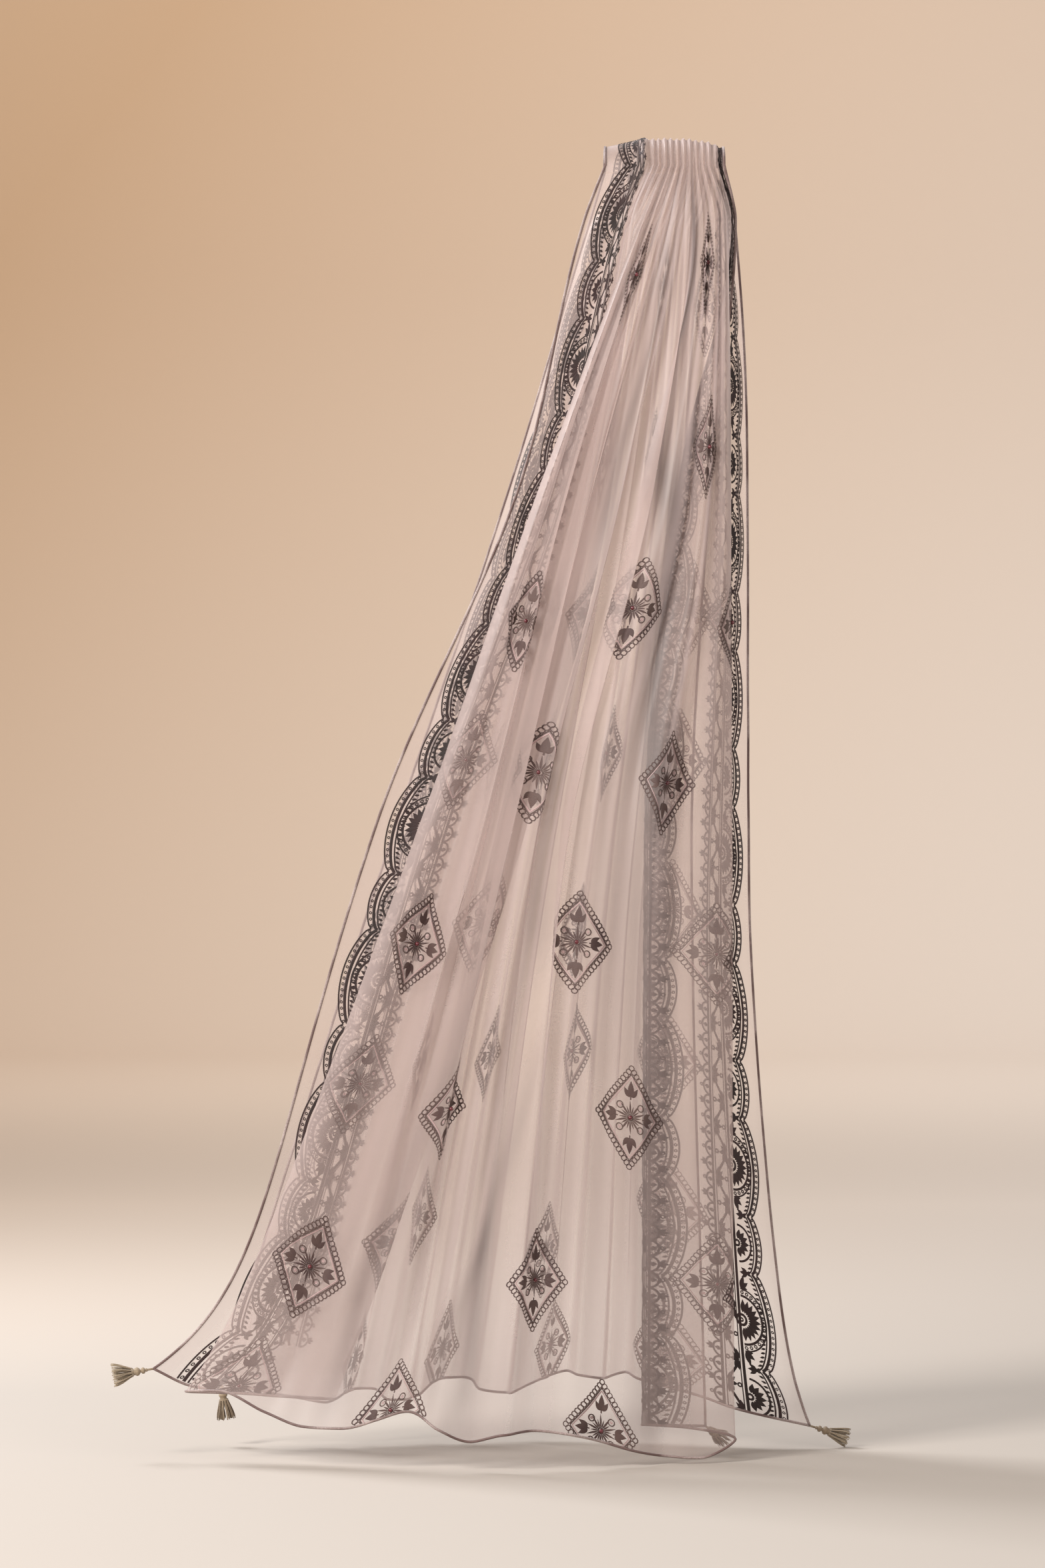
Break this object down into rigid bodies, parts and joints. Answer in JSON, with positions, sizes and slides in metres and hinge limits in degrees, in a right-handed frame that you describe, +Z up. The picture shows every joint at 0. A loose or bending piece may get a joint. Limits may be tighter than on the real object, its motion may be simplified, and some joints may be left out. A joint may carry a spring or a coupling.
{
  "type": "dupatta stole",
  "caption": "Sheer embroidered stole, gathered over a hold at its middle and hanging in fanned, pleated falls with a tassel at each corner.",
  "frame": {"origin": "the seat of the hold: the underside of the gathered cloth at its highest place, in the middle of the support's depth", "axes": "+Z up, +X along the support towards the back fall's right corner, the front fall faces -Y"},
  "size_m": [0.7077, 0.298, 1.2641],
  "materials": {
    "organza": "sheer plain weave, soft sheen",
    "tassel_thread": "matte twisted thread",
    "embroidery_thread": "dark stranded thread, slight sheen",
    "bead": "small polished beads"
  },
  "bodies": {
    "root": {"hand_fold": "organza", "front_fall": "organza", "back_fall": "organza", "tassel_front_left": "tassel_thread", "tassel_back_left": "tassel_thread", "tassel_back_right": "tassel_thread", "tassel_front_right": "tassel_thread"}
  },
  "joints": []
}
